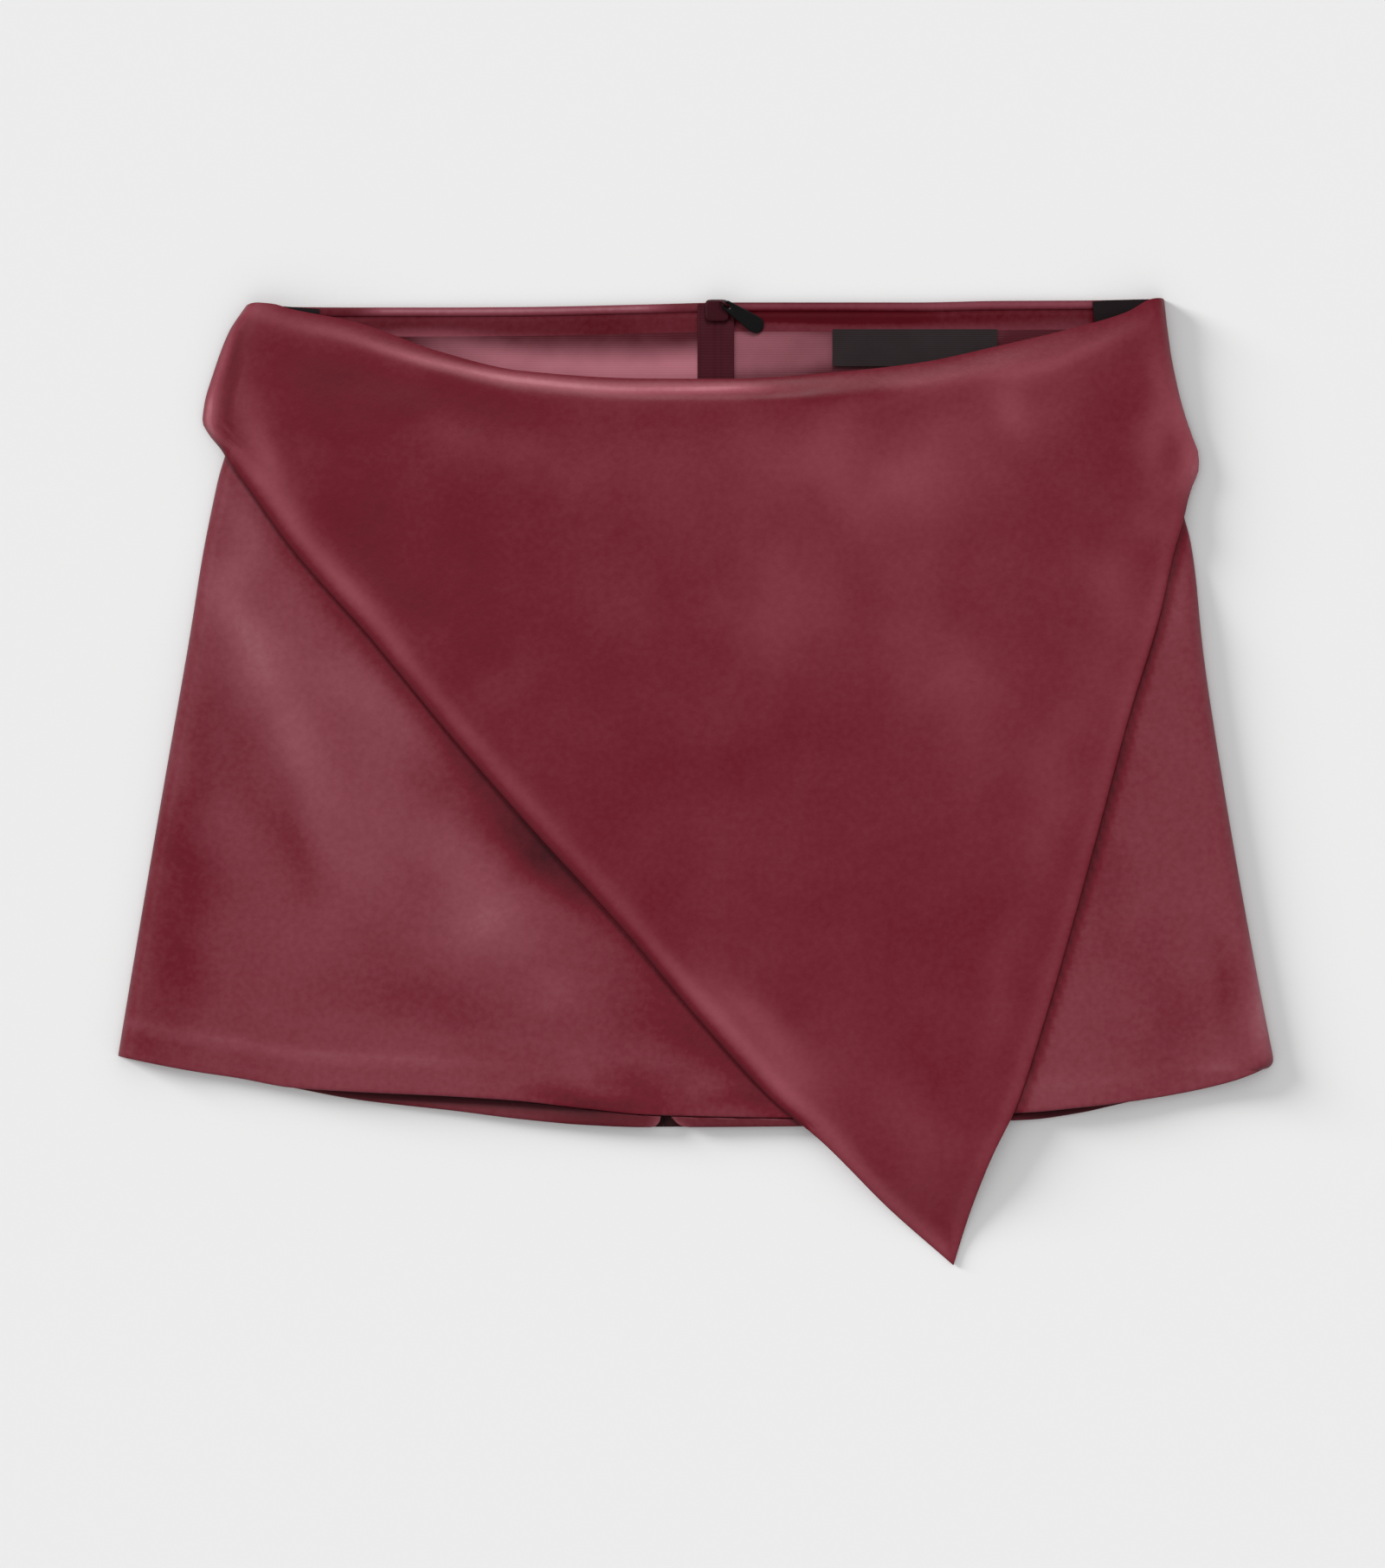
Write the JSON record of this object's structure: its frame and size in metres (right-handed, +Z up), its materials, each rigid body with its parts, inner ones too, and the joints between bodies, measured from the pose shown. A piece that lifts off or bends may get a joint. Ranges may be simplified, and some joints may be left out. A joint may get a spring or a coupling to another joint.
{
  "type": "skort",
  "caption": "Faux-leather skort laid flat: shorts under an A-line skirt front, with a pointed overlay across it and a centre-back zip.",
  "frame": {"origin": "centre of the laid garment's box, on the surface that it lies on", "axes": "+Z up from the surface, +Y towards the waist, +X towards the side fold on the right as seen from above"},
  "size_m": [0.456, 0.382, 0.0119],
  "materials": {
    "faux_leather_burgundy": "soft semi-gloss burgundy faux leather, fine grain",
    "faux_leather_shorts": "same faux leather on the shorts",
    "facing_satin": "mauve satin facing",
    "zip_tape_wine": "dark wine zip tape",
    "black_ribbon": "black woven ribbon",
    "black_enamel": "black enamelled zip slider and pull"
  },
  "bodies": {
    "skort": {"back_left": "faux_leather_shorts", "back_right": "faux_leather_shorts", "leg_front_left": "faux_leather_shorts", "leg_front_right": "faux_leather_shorts", "waist_band_left": "faux_leather_shorts", "waist_band_right": "faux_leather_shorts", "facing_left": "facing_satin", "facing_right": "facing_satin", "zip_tape_left": "zip_tape_wine", "zip_tape_right": "zip_tape_wine", "label": "black_ribbon", "hanger_loop_left": "black_ribbon", "hanger_loop_right": "black_ribbon", "skirt_front": "faux_leather_burgundy", "overlay": "faux_leather_burgundy", "zip_slider": "black_enamel"},
    "zip_pull_tab": {"zip_pull": "black_enamel"}
  },
  "joints": [
    {"name": "zip_pull_hinge", "type": "hinge", "parent": "skort", "child": "zip_pull_tab", "pos_m": [0.0112, 0.1882, 0.00695], "axis": [-0.5446, -0.8387, 0], "range_deg": [0, 180]}
  ]
}
